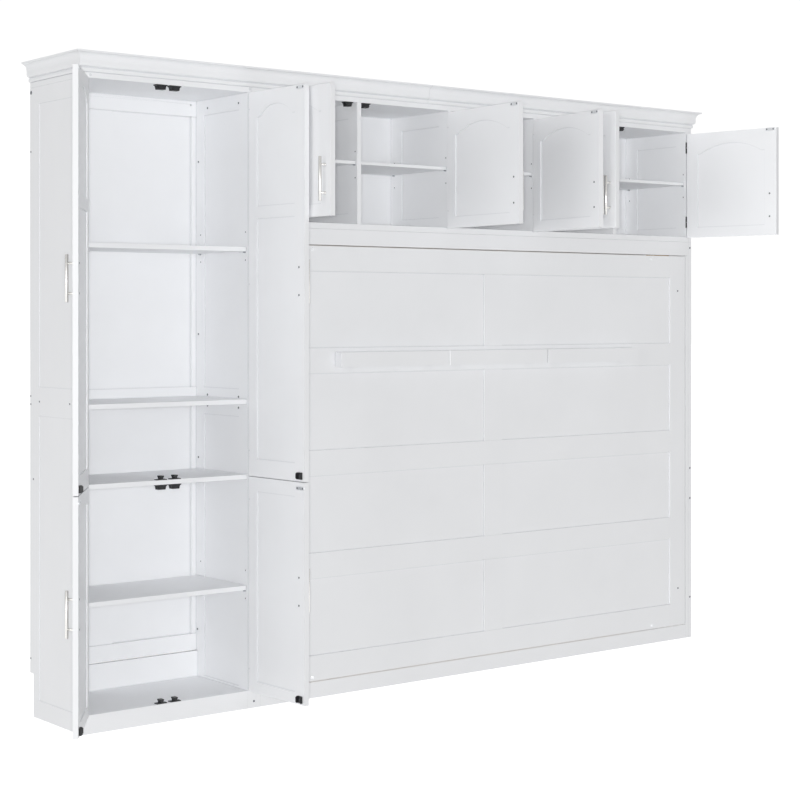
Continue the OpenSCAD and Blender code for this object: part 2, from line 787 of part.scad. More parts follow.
// Outline of a field: flat shoulders and a shallow arch between them.
shoulder = 16;
module arched_field(w, h, rise) {
    half = w / 2 - shoulder;
    r = (half * half + rise * rise) / (2 * rise);
    square([w, h]);
    intersection() {
        translate([w / 2, h + rise - r]) circle(r = r, $fn = 96);
        translate([shoulder, h - 1]) square([w - 2 * shoulder, rise + 2]);
    }
}

// A door's section. Its hinge edge is round about the axis; where the axis lies nearer
// the inner face, only the inner corner is.
module door_section(w, inset) {
    outer_y = inset - door_t;
    circle(r = inset);
    translate([0, outer_y]) square([w - inset, door_t]);
    if (inset < door_t / 2) {
        translate([-inset, outer_y + edge_round]) square([inset + 1, -outer_y - edge_round]);
        translate([edge_round - inset, outer_y]) square([inset, edge_round + 1]);
        translate([edge_round - inset, outer_y + edge_round]) circle(r = edge_round);
    }
}

// fields: [x, z, width, height, arch rise] from the panel's lower hinge corner.
module door_panel(w, h, fields, hinges, swing, inset = axis_in) {
    difference() {
        linear_extrude(h) door_section(w, inset);
        for (f = fields, y = [inset - door_t + field_d, inset + 1])
            translate([f[0] - inset, y, f[1]]) rotate([90, 0, 0])
                linear_extrude(field_d + 1)
                    if (f[4] > 0) arched_field(f[2], f[3], f[4]);
                    else square([f[2], f[3]]);
        for (z = hinges) translate([0, 0, z]) hinge_mortise(swing);
    }
}

function plain_field(w, z0, z1) = [door_frame, z0, w - 2 * door_frame, z1 - z0, 0];
function arch_field(w, z0, z1) = [door_frame, z0, w - 2 * door_frame, z1 - z0, arch_rise];

upper_fields = [
    plain_field(wardrobe_door_w, 61, wardrobe_upper_h - 449),
    arch_field(wardrobe_door_w, wardrobe_upper_h - 407, wardrobe_upper_h - 90)
];
lower_fields = [plain_field(wardrobe_door_w, 40, wardrobe_lower_h - 49)];
overhead_fields = [arch_field(overhead_door_w, 42, overhead_door_h - 89)];

// How far each door turns between closed and fully open
swing_wardrobe_left = 125;
swing_wardrobe_right = 93;
swing_a = 90;
swing_b = 99;
swing_c = 83;
swing_d = 89;
swing_e = 100;

module upper_door(edge_x, side, angle, swing) color(PAINT)
    hung(edge_x, side, split_z + door_gap / 2, angle)
        door_panel(wardrobe_door_w, wardrobe_upper_h, upper_fields, upper_hinges, swing);

module lower_door(edge_x, side, angle, swing) color(PAINT)
    hung(edge_x, side, wardrobe_lower_z, angle)
        door_panel(wardrobe_door_w, wardrobe_lower_h, lower_fields, lower_hinges, swing);

module overhead_door(k, side, angle, swing, inset = axis_in) color(PAINT)
    hung(bay_x(k) + side * door_gap / 2, side, overhead_door_z, angle, inset)
        door_panel(overhead_door_w, overhead_door_h, overhead_fields, overhead_hinges,
                   swing, inset);

module door_wardrobe_left_upper()
    upper_door(left_edge, 1, open_wardrobe_left, swing_wardrobe_left);

module door_wardrobe_left_lower()
    lower_door(left_edge, 1, open_wardrobe_left, swing_wardrobe_left);

module door_wardrobe_right_upper()
    upper_door(right_edge, -1, open_wardrobe_right, swing_wardrobe_right);

module door_wardrobe_right_lower()
    lower_door(right_edge, -1, open_wardrobe_right, swing_wardrobe_right);

module door_overhead_a() overhead_door(0, 1, open_a, swing_a);
module door_overhead_b() overhead_door(2, -1, open_b, swing_b);
module door_overhead_c() overhead_door(3, -1, open_c, swing_c);
module door_overhead_d() overhead_door(3, 1, open_d, swing_d);
module door_overhead_e() overhead_door(5, -1, open_e, swing_e, end_axis_in);

// ---------------------------------------------------------------- door fittings

handle_in = 33;           // from the free edge to the handle
plate = [42, 1.5, 11];    // steel plate that a magnet holds
plate_in = 30;            // from the free edge to that plate, on the doors of bays 2 to 5
latch_in = tower_catch_x - door_gap / 2;
latch = [25, 12, 24];
latch_wall = 3;

// Bar handle on the outer face and magnet plate on the inner face. plate_at is measured
// from the free edge to the plate's middle, plate_down from the door's top to its top.
module door_fittings(w, h, handle_z, plate_at, plate_down, inset = axis_in) {
    free = w - inset;
    translate([free - handle_in, inset - door_t - handle_out, handle_z]) {
        translate([0, 0, -handle_l / 2]) cylinder(h = handle_l, r = handle_bar / 2);
        for (s = [-1, 1])
            translate([0, 0, s * handle_pitch / 2]) rotate([-90, 0, 0])
                cylinder(h = handle_out, r = 4);
    }
    translate([free - plate_at - plate[0] / 2, inset, h - plate_down - plate[2]])
        cube(plate);
}

// The latch at a wardrobe door's foot: two cheeks that close over a stud.
module door_latch() {
    x = wardrobe_door_w - axis_in - latch_in - latch[0] / 2;
    translate([x, axis_in, 7]) difference() {
        cube(latch);
        board([latch_wall, latch_wall, -1],
              [latch[0] - latch_wall, latch[1] + 1, latch[2] + 1]);
    }
}

module upper_fittings(edge_x, side, angle) color(STEEL)
    hung(edge_x, side, split_z + door_gap / 2, angle) {
        door_fittings(wardrobe_door_w, wardrobe_upper_h, 687, latch_in, 3);
        door_latch();
    }

module lower_fittings(edge_x, side, angle) color(STEEL)
    hung(edge_x, side, wardrobe_lower_z, angle) {
        door_fittings(wardrobe_door_w, wardrobe_lower_h, 388, latch_in, 15);
        door_latch();
    }

module overhead_fittings(k, side, angle, plate_at = plate_in, inset = axis_in) color(STEEL)
    hung(bay_x(k) + side * door_gap / 2, side, overhead_door_z, angle, inset)
        door_fittings(overhead_door_w, overhead_door_h, 126, plate_at, 1, inset);

module fittings_wardrobe_left_upper() upper_fittings(left_edge, 1, open_wardrobe_left);
module fittings_wardrobe_left_lower() lower_fittings(left_edge, 1, open_wardrobe_left);
module fittings_wardrobe_right_upper() upper_fittings(right_edge, -1, open_wardrobe_right);
module fittings_wardrobe_right_lower() lower_fittings(right_edge, -1, open_wardrobe_right);
module fittings_overhead_a() overhead_fittings(0, 1, open_a, first_catch_in);
module fittings_overhead_b() overhead_fittings(2, -1, open_b);
module fittings_overhead_c() overhead_fittings(3, -1, open_c);
module fittings_overhead_d() overhead_fittings(3, 1, open_d);
module fittings_overhead_e() overhead_fittings(5, -1, open_e, plate_in, end_axis_in);

// ---------------------------------------------------------------- drawing

wardrobe_side_left();
wardrobe_side_right();
wardrobe_top();
wardrobe_floor();
wardrobe_plinth();
wardrobe_fixed_shelves();
wardrobe_loose_shelves();
wardrobe_back_rails();
back_boards();
bed_sides();
front_posts();
bed_header();
bed_plinth();
bed_back_rails();
bed_stops();
overhead_ends();
overhead_deck();
overhead_top();
overhead_partitions();
overhead_shelves();
crown_front();
crown_returns();
door_hinges();
door_catches();
shelf_pins();
pivot_bushes();
strut_studs();
bed_face_rails();
bed_face_stiles();
bed_face_panels();
bed_box_rails();
bed_box_ends();
bed_slats();
pivot_plates();
foot_hinges();
foot_rail_left();
foot_rail_centre();
foot_rail_right();
strut_cylinder_left();
strut_cylinder_right();
strut_rod_left();
strut_rod_right();
door_wardrobe_left_upper();
door_wardrobe_left_lower();
door_wardrobe_right_upper();
door_wardrobe_right_lower();
door_overhead_a();
door_overhead_b();
door_overhead_c();
door_overhead_d();
door_overhead_e();
fittings_wardrobe_left_upper();
fittings_wardrobe_left_lower();
fittings_wardrobe_right_upper();
fittings_wardrobe_right_lower();
fittings_overhead_a();
fittings_overhead_b();
fittings_overhead_c();
fittings_overhead_d();
fittings_overhead_e();
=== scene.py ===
import json
import math

import bmesh
import bpy
from mathutils import Matrix, Vector


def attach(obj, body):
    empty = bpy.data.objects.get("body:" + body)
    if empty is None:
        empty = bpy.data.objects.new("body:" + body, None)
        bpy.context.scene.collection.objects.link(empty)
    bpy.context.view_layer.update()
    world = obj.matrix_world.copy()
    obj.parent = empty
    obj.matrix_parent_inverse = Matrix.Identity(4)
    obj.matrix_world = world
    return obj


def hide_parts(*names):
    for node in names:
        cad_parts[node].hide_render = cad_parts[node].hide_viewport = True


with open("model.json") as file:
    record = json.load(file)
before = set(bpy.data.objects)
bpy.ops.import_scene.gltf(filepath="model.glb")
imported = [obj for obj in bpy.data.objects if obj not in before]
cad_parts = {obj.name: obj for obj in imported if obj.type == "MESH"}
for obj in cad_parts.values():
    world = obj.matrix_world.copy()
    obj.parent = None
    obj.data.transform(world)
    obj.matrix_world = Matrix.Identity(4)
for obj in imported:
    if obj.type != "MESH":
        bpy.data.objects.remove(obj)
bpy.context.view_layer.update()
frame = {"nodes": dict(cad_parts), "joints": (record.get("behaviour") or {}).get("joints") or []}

nodes = frame["nodes"]
joints = {j["name"]: j for j in frame["joints"]}

# The source is drawn from the cabinet's left side, its front plane and the floor, in mm.
CABINET_W = 2960.0
CABINET_D = 380.0
MM = 0.001


def at(x, y, z):
    """A point of the cabinet drawing, in mm, as a point of the frame, in metres."""
    return Vector(((x - CABINET_W / 2) * MM, (y - CABINET_D) * MM, z * MM))


# ------------------------------------------------------------------ camera

# Where the camera stands, how far it is turned to the right, and its lens in pixels of the
# 800 pixel wide picture. It looks level, and the lens is shifted down.
STAND = at(-2827.6, -5328.7, 1400.1)
TURN_RIGHT = 38.08
PICTURE_PX = 800
LENS_PX = 1781.55
SHIFT_PX = -84.31
SENSOR_MM = 36
SEES_TO_M = 200


def set_camera():
    cam = bpy.data.objects.new("camera", bpy.data.cameras.new("camera"))
    bpy.context.scene.collection.objects.link(cam)
    cam.location = STAND
    cam.rotation_euler = (math.radians(90), 0, math.radians(-TURN_RIGHT))
    cam.data.sensor_width = SENSOR_MM
    cam.data.lens = SENSOR_MM * LENS_PX / PICTURE_PX
    cam.data.shift_y = SHIFT_PX / PICTURE_PX
    cam.data.clip_end = SEES_TO_M
    bpy.context.scene.camera = cam


# ------------------------------------------------------------------ finishes

def linear(hex_colour):
    """An sRGB hex colour as the linear colour that a shader takes."""
    parts = [int(hex_colour[i:i + 2], 16) / 255 for i in (1, 3, 5)]
    lit = [c / 12.92 if c <= 0.04045 else ((c + 0.055) / 1.055) ** 2.4 for c in parts]
    return (*lit, 1)


def add(tree, kind, settings=None, links=None):
    """Adds a node: settings are its own, links are its sockets' values or other nodes' sockets."""
    new = tree.nodes.new(kind)
    for key, value in (settings or {}).items():
        setattr(new, key, value)
    for key, value in (links or {}).items():
        if isinstance(value, bpy.types.NodeSocket):
            tree.links.new(value, new.inputs[key])
        else:
            new.inputs[key].default_value = value
    return new


def per(size_mm):
    """The texture scale at which one feature of a pattern is size_mm wide."""
    return 1000 / size_mm


def finish(name, dark, light, mottle_mm, rough, grain_mm, grain_depth_mm, metallic=0.0, ior=None,
           detail=3.0, stretch=(1, 1, 1), grain_stretch=(1, 1, 1), contrast=0.5, corner_shade=None):
    """A surface: two tones that drift over mottle_mm, and a fine relief of grain_mm.

    stretch and grain_stretch shorten (above 1) or lengthen (below 1) the pattern along X, Y, Z.
    The last argument is a tone of painted shade for the inner corners, found by an occlusion test,
    and its reach in mm.
    """
    mat = bpy.data.materials.new(name)
    mat.use_nodes = True
    tree = mat.node_tree
    tree.nodes.clear()
    place = add(tree, "ShaderNodeTexCoord")
    drift = add(tree, "ShaderNodeMapping", links={
        "Vector": place.outputs["Object"], "Scale": stretch})
    tone = add(tree, "ShaderNodeTexNoise", links={
        "Vector": drift.outputs["Vector"], "Scale": per(mottle_mm), "Detail": detail,
        "Roughness": 0.55})
    ramp = add(tree, "ShaderNodeValToRGB", links={"Fac": tone.outputs["Fac"]})
    ramp.color_ramp.elements[0].position = 0.5 - contrast / 2
    ramp.color_ramp.elements[0].color = linear(dark)
    ramp.color_ramp.elements[1].position = 0.5 + contrast / 2
    ramp.color_ramp.elements[1].color = linear(light)
    lay = add(tree, "ShaderNodeMapping", links={
        "Vector": place.outputs["Object"], "Scale": grain_stretch})
    grain = add(tree, "ShaderNodeTexNoise", links={
        "Vector": lay.outputs["Vector"], "Scale": per(grain_mm), "Detail": 2.0})
    sheen = add(tree, "ShaderNodeMapRange", links={
        "Value": grain.outputs["Fac"], "From Min": 0.3, "From Max": 0.7,
        "To Min": rough[0], "To Max": rough[1]})
    relief = add(tree, "ShaderNodeBump", links={
        "Height": grain.outputs["Fac"], "Strength": 1.0, "Distance": grain_depth_mm * MM})
    colour = ramp.outputs["Color"]
    # Painted shade: an occlusion test blends the colour towards a grey tone in inner corners.
    if corner_shade:
        shade_tone, shade_reach_mm = corner_shade
        corner = add(tree, "ShaderNodeAmbientOcclusion", {"samples": 6},
                     {"Distance": shade_reach_mm * MM})
        shade = add(tree, "ShaderNodeMix", {"data_type": "RGBA"}, {
            "Factor": corner.outputs["AO"], "A": linear(shade_tone), "B": colour})
        colour = shade.outputs["Result"]
    surface = add(tree, "ShaderNodeBsdfPrincipled", links={
        "Base Color": colour, "Roughness": sheen.outputs["Result"],
        "Normal": relief.outputs["Normal"], "Metallic": metallic})
    if ior:
        surface.inputs["IOR"].default_value = ior
    add(tree, "ShaderNodeOutputMaterial", links={"Surface": surface.outputs["BSDF"]})
    return mat


# The tone and reach in mm of the painted shade in inner corners.
PAINTED_CORNER_SHADE = ("#cfd1d5", 5)

# MDF, primed, sanded and sprayed with satin lacquer: even and cool white, with the broad,
# very low waves of a sprayed coat. The waves are about 2 mm in life, drawn at 9 mm to show.
# Inner corners get painted shade, a fine grey line in each.
SATIN_PAINT = finish("satin_paint_on_mdf", "#f5f6f8", "#f9fafc", mottle_mm=260,
                     rough=(0.36, 0.46), grain_mm=9, grain_depth_mm=0.02, ior=1.5,
                     corner_shade=PAINTED_CORNER_SHADE)
# Particleboard faced with a white melamine foil: a shade greyer than the paint, with a faint
# pressed texture that dulls the gloss. The pores are under 1 mm in life, drawn at 6 mm. Its
# inner corners get the same painted shade as the paint, a fine grey line.
WHITE_FOIL = finish("white_foil_on_board", "#f3f4f6", "#f8f9fb", mottle_mm=340,
                    rough=(0.44, 0.56), grain_mm=6, grain_depth_mm=0.015, ior=1.5,
                    corner_shade=PAINTED_CORNER_SHADE)


def planed_pine(name, ring_stretch, grain_stretch):
    """Planed softwood: warm, matte, with growth rings 5 to 9 mm apart along the board."""
    return finish(name, "#c79f6b", "#e3c795", mottle_mm=8, rough=(0.5, 0.66), grain_mm=2.4,
                  grain_depth_mm=0.05, ior=1.5, detail=5.0, stretch=ring_stretch,
                  grain_stretch=grain_stretch, contrast=0.34)


# The boards that run the length of the bed, and those that stand upright when it is folded.
PINE_ACROSS = planed_pine("planed_pine_rails", (0.05, 1, 1), (0.04, 1, 1))
PINE_UP = planed_pine("planed_pine_slats", (1, 1, 0.05), (1, 1, 0.04))
# Pressed steel, zinc plated: bright bluish grey, with the soft cloudiness of the plating.
ZINC = finish("zinc_plated_steel", "#9a9ea3", "#c3c6ca", mottle_mm=11, rough=(0.26, 0.42),
              grain_mm=1.5, grain_depth_mm=0.01, metallic=1.0)
# Thin steel plate, zinc plated and burnished: nearly white, and smoother than the brackets.
BRIGHT_ZINC = finish("bright_zinc_plate", "#e0e2e4", "#eceef0", mottle_mm=9, rough=(0.3, 0.42),
                     grain_mm=1.5, grain_depth_mm=0.01, metallic=1.0)
# Steel bar, brushed along its length and nickel plated: warm grey, with fine lines that run
# up the bar. The lines are about 0.1 mm apart in life, drawn at 0.7 mm.
NICKEL = finish("brushed_nickel", "#c6c5c2", "#e8e7e4", mottle_mm=0.9, rough=(0.24, 0.4),
                grain_mm=0.7, grain_depth_mm=0.02, metallic=1.0, stretch=(1, 1, 0.03),
                grain_stretch=(1, 1, 0.03), contrast=0.6)
# Acetal and ABS, injection moulded: near black, with a fine spark-eroded grain, drawn at 1.5 mm.
BLACK_PLASTIC = finish("moulded_black_plastic", "#17181a", "#232427", mottle_mm=14,
                       rough=(0.36, 0.52), grain_mm=1.5, grain_depth_mm=0.03, ior=1.46)
# Steel tube, sprayed with black enamel: smooth and glossier than plastic. The black strips at the
# last door's hinges take it too.
BLACK_ENAMEL = finish("black_enamel_on_steel", "#121315", "#1c1d20", mottle_mm=30,
                      rough=(0.2, 0.3), grain_mm=3, grain_depth_mm=0.01, ior=1.5)
# Ground and chromed rod: mirror bright.
CHROME = finish("ground_chrome_rod", "#b9bbbd", "#d3d4d6", mottle_mm=6, rough=(0.08, 0.14),
                grain_mm=0.8, grain_depth_mm=0.004, metallic=1.0)
# Countersunk screws, burnished: dull dark grey steel.
DULL_STEEL = finish("burnished_screw_steel", "#63656a", "#85888d", mottle_mm=2,
                    rough=(0.34, 0.5), grain_mm=0.8, grain_depth_mm=0.02, metallic=1.0)

TIMBER_RAILS = ("bed_box_rails",)
TIMBER_UPRIGHT = ("bed_box_ends", "bed_slats", "bed_stops")
FOIL_BOARDS = ("wardrobe_floor", "wardrobe_fixed_shelves", "wardrobe_loose_shelves",
               "wardrobe_back_rails", "back_boards", "bed_back_rails", "overhead_shelves")
STEEL_PARTS = ("shelf_pins", "strut_studs", "pivot_plates", "foot_hinges")


def finish_of(name):
    if name in TIMBER_RAILS:
        return PINE_ACROSS
    if name in TIMBER_UPRIGHT:
        return PINE_UP
    if name in FOIL_BOARDS:
        return WHITE_FOIL
    if name in STEEL_PARTS or name.startswith("fittings_"):
        return ZINC
    if name.startswith("strut_rod"):
        return CHROME
    if name.startswith("strut_cylinder"):
        return BLACK_ENAMEL
    if name in ("door_catches", "pivot_bushes"):
        return BLACK_PLASTIC
    return SATIN_PAINT


WELD_MM = 0.02


def ease_edges(obj, radius_mm):
    """Sanded and painted edges: every sharp edge of the board gets a small round."""
    weld = obj.modifiers.new("joined_corners", "WELD")
    weld.merge_threshold = WELD_MM * MM
    ease = obj.modifiers.new("eased_edges", "BEVEL")
    ease.width = radius_mm * MM
    ease.segments = 2
    ease.limit_method = "ANGLE"
    ease.angle_limit = math.radians(35)
    ease.use_clamp_overlap = True
    level = obj.modifiers.new("flat_faces", "WEIGHTED_NORMAL")
    level.keep_sharp = False
    level.weight = 80


# The round on a board's edges in mm, by its finish.
EASED = {"satin_paint_on_mdf": 0.9, "white_foil_on_board": 0.5, "planed_pine_rails": 1.2,
         "planed_pine_slats": 1.2}
# Boards that meet edge to edge have a wider round, for the line of shade between them. The thin
# leaves of the hinges have a finer one.
EASED_OWN = {"bed_header": 1.5, "overhead_deck": 1.5, "wardrobe_top": 1.5, "overhead_top": 1.5,
             "bed_sides": 1.5, "overhead_ends": 1.5, "door_hinges": 0.3}


def dress_boards():
    for name, obj in nodes.items():
        coat = finish_of(name)
        obj.data.materials.clear()
        obj.data.materials.append(coat)
        if coat.name in EASED and not name.startswith("crown"):
            ease_edges(obj, EASED_OWN.get(name, EASED[coat.name]))


# ------------------------------------------------------------------ small turned and cut pieces

def turned(bm, profile, place, sides=24, finish_slot=0):
    """Adds a turned solid: profile is (radius, height) pairs in mm, place puts its axis, +Z."""
    rings = []
    for radius, height in profile:
        ring = []
        for i in range(sides):
            turn = 2 * math.pi * i / sides
            ring.append(bm.verts.new(place @ Vector(
                (radius * math.cos(turn), radius * math.sin(turn), height))))
        rings.append(ring)
    faces = []
    for low, high in zip(rings, rings[1:]):
        for i in range(sides):
            j = (i + 1) % sides
            faces.append(bm.faces.new((low[i], low[j], high[j], high[i])))
    faces.append(bm.faces.new(list(reversed(rings[0]))))
    faces.append(bm.faces.new(rings[-1]))
    for face in faces:
        face.material_index = finish_slot
        face.smooth = len(face.verts) == 4


def cut_board(bm, outline, thickness, place, finish_slot=0, ease=0.0):
    """Adds a flat piece: outline is (x, y) pairs in mm, thickness runs along +Z from 0.

    ease is the width in mm of the round along its edges.
    """
    low = [bm.verts.new(place @ Vector((x, y, 0))) for x, y in outline]
    high = [bm.verts.new(place @ Vector((x, y, thickness))) for x, y in outline]
    faces = [bm.faces.new(list(reversed(low))), bm.faces.new(high)]
    count = len(outline)
    for i in range(count):
        j = (i + 1) % count
        faces.append(bm.faces.new((low[i], low[j], high[j], high[i])))
    for face in faces:
        face.material_index = finish_slot
    if ease:
        edges = list(dict.fromkeys(e for f in faces for e in f.edges))
        made = bmesh.ops.bevel(bm, geom=edges, offset=ease * MM, segments=2, profile=0.7,
                               affect="EDGES", clamp_overlap=True)
        for face in made["faces"]:
            face.material_index = finish_slot
            face.smooth = True


def rounded(width, height, radius, steps=4):
    """Outline of a rectangle with round corners, about its middle."""
    points = []
    for cx, cy, start in ((1, 1, 0), (-1, 1, 90), (-1, -1, 180), (1, -1, 270)):
        for i in range(steps + 1):
            turn = math.radians(start + 90 * i / steps)
            points.append((cx * (width / 2 - radius) + radius * math.cos(turn),
                           cy * (height / 2 - radius) + radius * math.sin(turn)))
    return points


def make_piece(name, body, coats, build):
    """Builds a piece in metres from a function that draws it, and fixes it to a body."""
    bm = bmesh.new()
    build(bm)
    bmesh.ops.recalc_face_normals(bm, faces=bm.faces)
    mesh = bpy.data.meshes.new(name)
    bm.to_mesh(mesh)
    bm.free()
    for coat in coats:
        mesh.materials.append(coat)
    obj = bpy.data.objects.new(name, mesh)
    bpy.context.scene.collection.objects.link(obj)
    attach(obj, body)
    return obj


TO_METRES = Matrix.Scale(MM, 4)
UP = (0, 0, 1)
FRONT = (0, -1, 0)
BACK = (0, 1, 0)
LEFT = (-1, 0, 0)
RIGHT = (1, 0, 0)


def turned_to(direction):
    """The turn that lays a piece's +Z along direction."""
    return Vector(UP).rotation_difference(Vector(direction)).to_matrix().to_4x4()


def facing(x, y, z, direction):
    """Places a piece at a drawing point, with its +Z along direction."""
    return Matrix.Translation(at(x, y, z)) @ turned_to(direction) @ TO_METRES


# ------------------------------------------------------------------ doors

# In mm: the handle's height on the door, how far in from the free edge the magnet plate's
# middle lies, how far down from the door's top its upper edge lies, and whether the door
# has a latch.
DOORS = {
    "wardrobe_left_upper": (687, 25.9, 3, True),
    "wardrobe_left_lower": (388, 25.9, 15, True),
    "wardrobe_right_upper": (687, 25.9, 3, True),
    "wardrobe_right_lower": (388, 25.9, 15, True),
    "overhead_a": (126, 33, 1, False),
    "overhead_b": (126, 30, 1, False),
    "overhead_c": (126, 30, 1, False),
    "overhead_d": (126, 30, 1, False),
    "overhead_e": (126, 30, 1, False),
}
HANDLE_IN = 33            # from the door's free edge
HANDLE_PITCH = 96         # between its two posts
HANDLE_LENGTH = 152
HANDLE_BAR = 11           # across
HANDLE_OUT = 22           # from the door's outer face to the bar's middle
BAR_CHAMFER = 1.2
LATCH_UP = 19             # from the door's lower edge to the latch's middle
HANDLE_POST = [(5.4, 0), (5.4, 1.6), (4.6, 2.4), (3.9, 4), (3.9, HANDLE_OUT - 3)]
HANDLE_POSTS = (-HANDLE_PITCH / 2, HANDLE_PITCH / 2)
SCREW_SIDES = 16


class Door:
    """One open door: X runs from its axis to its free edge, Y through it to its inner face."""

    def __init__(self, name):
        joint = joints[name + "_hinge"]
        side = -joint["axis"][2]
        opening = -joint["range_deg"][0]
        self.name = name
        self.body = "door_" + name
        self.handle_z, self.plate_in, self.plate_down, self.has_latch = DOORS[name]
        axis = Vector((joint["pos_m"][0], joint["pos_m"][1], 0))
        self.hang = (Matrix.Translation(axis) @ Matrix.Diagonal((side, 1, 1, 1))
                     @ Matrix.Rotation(math.radians(-opening), 4, "Z"))
        back = self.hang.inverted()
        points = [back @ v.co / MM for v in nodes["door_" + name].data.vertices]
        self.free = max(p.x for p in points)
        self.outer = min(p.y for p in points)
        self.inner = max(p.y for p in points)
        self.low = min(p.z for p in points)
        self.high = max(p.z for p in points)

    def place(self, u, v, z, direction=UP):
        """Places a piece on the door, z measured up from the door's lower edge."""
        spot = Matrix.Translation((u, v, self.low + z))
        return self.hang @ TO_METRES @ spot @ turned_to(direction)


def bar_handle(door):
    """A round bar with chamfered ends on two turned posts, each with a collar on the door."""
    u = door.free - HANDLE_IN
    r = HANDLE_BAR / 2
    half = HANDLE_LENGTH / 2
    chamfer = BAR_CHAMFER
    bar = [(r - chamfer, -half), (r, chamfer - half), (r, half - chamfer), (r - chamfer, half)]

    def draw(bm):
        turned(bm, bar, door.place(u, door.outer - HANDLE_OUT, door.handle_z), 32)
        for step in HANDLE_POSTS:
            turned(bm, HANDLE_POST, door.place(u, door.outer, door.handle_z + step, FRONT), 24)

    return make_piece("handle_" + door.name, door.body, [NICKEL], draw)


def screw_profile(r, proud):
    """A pan-head screw with a socket: out to the rim, up, and down into the recess."""
    return [(r, -1), (r, proud * 0.4), (r * 0.86, proud), (r * 0.45, proud), (r * 0.36, 0.1)]


def handle_screws(door):
    """The two screws that hold the handle, seen on the door's inner face."""
    u = door.free - HANDLE_IN

    def draw(bm):
        for step in HANDLE_POSTS:
            turned(bm, screw_profile(3.6, 0.9),
                   door.place(u, door.inner, door.handle_z + step, BACK), SCREW_SIDES)

    return make_piece("handle_screws_" + door.name, door.body,
                      [DULL_STEEL], draw)


def magnet_plate(door):
    """The steel plate that the magnet holds, with its two dark screws."""
    width, height, thickness = 42, 11, 1.5
    screw_step = 15.5
    u = door.free - door.plate_in
    z = door.high - door.low - door.plate_down - height / 2

    def draw(bm):
        cut_board(bm, rounded(width, height, 2), thickness,
                  door.place(u, door.inner, z, BACK), 0, 0.3)
        for step in (-screw_step, screw_step):
            turned(bm, screw_profile(3.4, 0.4),
                   door.place(u + step, door.inner + thickness, z, BACK), SCREW_SIDES, 1)

    return make_piece("magnet_plate_" + door.name, door.body,
                      [BRIGHT_ZINC, DULL_STEEL], draw)


def latch(door):
    """The black latch at a wardrobe door's foot: a base with two cheeks that grip a stud."""
    width, height, depth, wall = 25, 24, 12, 3
    half = height / 2
    u = door.free - door.plate_in
    z = LATCH_UP
    cheek = [(-half, 0), (half, 0), (half, depth - 5), (half - 4, depth), (4 - half, depth),
             (-half, depth - 5)]

    def draw(bm):
        cut_board(bm, rounded(width, height, 2), wall, door.place(u, door.inner, z, BACK), 0, 0.5)
        for start in (-width / 2, width / 2 - wall):
            cut_board(bm, cheek, wall, door.place(u + start, door.inner, z, RIGHT), 0, 0.6)
        turned(bm, screw_profile(3.2, 1.2), door.place(u, door.inner + wall, z, BACK),
               SCREW_SIDES, 1)

    return make_piece("latch_" + door.name, door.body,
                      [BLACK_PLASTIC, DULL_STEEL], draw)


def fit_doors():
    for name in DOORS:
        door = Door(name)
        handle = bar_handle(door)
        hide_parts("fittings_" + name)
        handle_screws(door)
        magnet_plate(door)
        if door.has_latch:
            latch(door)


# ------------------------------------------------------------------ catches

# Heights in mm of the faces that carry the catches and studs, their places from the cabinet's
# left side, and half a catch's width.
CEILING_Z = 2196
CATCH_SHELF_LOW = 818
CATCH_SHELF_HIGH = 834
TOWER_FLOOR_Z = 64
TOWER_CATCHES = (310.5, 365.5)
OVERHEAD_CATCHES = (1110.8, 1191, 1639.4, 2445, 2536.2)
TOWER_CATCH_HALF = 22
BAY_CATCH_HALF = 19


def magnet_catch(bm, x, z, half):
    """A magnet in a black case under a board: a flange, a tapered case and its pole face."""
    wide = half - 6
    case = [(-half, 0), (half, 0), (half, 3), (wide, 5), (wide - 2, 17), (2 - wide, 17),
            (-wide, 5), (-half, 3)]
    case_at, case_deep, pole_at, pole_deep = 4, 22, 0.5, 4
    cut_board(bm, case, case_deep, facing(x, case_at, z, BACK), 0, 0.7)
    cut_board(bm, rounded(22, 5, 1.2), pole_deep, facing(x, pole_at, z - 10.5, BACK), 0, 0.4)


def latch_stud(bm, x, z):
    """The stud that a latch grips: a thin black base with a headed rib on it."""
    base = [(-20, 0), (20, 0), (20, 3), (-20, 3)]
    rib = [(-5, 2), (5, 2), (5, 9), (8, 10.5), (8, 15), (-8, 15), (-8, 10.5), (-5, 9)]
    deep, back_at, screw_step = 20, 24, 13.5
    for outline in (base, rib):
        cut_board(bm, outline, deep, facing(x, back_at, z, FRONT), 0, 0.6)
    for step in (-screw_step, screw_step):
        turned(bm, screw_profile(3.2, 1.2), facing(x + step, back_at - deep / 2, z + 3, UP),
               SCREW_SIDES, 1)


def fit_catches():
    def tower(bm):
        for x in TOWER_CATCHES:
            for z in (CEILING_Z, CATCH_SHELF_LOW):
                magnet_catch(bm, x, z, TOWER_CATCH_HALF)
            for z in (CATCH_SHELF_HIGH, TOWER_FLOOR_Z):
                latch_stud(bm, x, z)

    def overhead(bm):
        for x in OVERHEAD_CATCHES:
            magnet_catch(bm, x, CEILING_Z, BAY_CATCH_HALF)

    first = make_piece("catches_wardrobe", "cabinet",
                       [BLACK_PLASTIC, DULL_STEEL], tower)
    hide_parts("door_catches")
    make_piece("catches_overhead", "cabinet", [BLACK_PLASTIC], overhead)


# ------------------------------------------------------------------ shelf pin holes, with painted shade

# The radius and height of the black lining that paints shade into an empty hole, and the empty
# holes in mm: the faces they are in, from the cabinet's left side, their rows behind the front
# plane, and their heights.
PIN_HOLE_SHADE = [(2.5, -7), (2.5, -0.5), (2.1, -0.1), (1.6, -0.5), (1.4, -4)]
TOWER_FACES = (18, 658)
TOWER_ROWS = (14, 316)
TOWER_LEVELS = [shelf + step for shelf in (1626.5, 419.5) for step in (-28, 72)]
BAY_FACES = (712, 1145.4, 1163.4, 1584.8, 1602.8, 2033.2, 2051.2, 2481.6, 2499.6, 2924)
BAY_ROWS = (14, 340)
BAY_LEVELS = (1915.5, 2013.5)


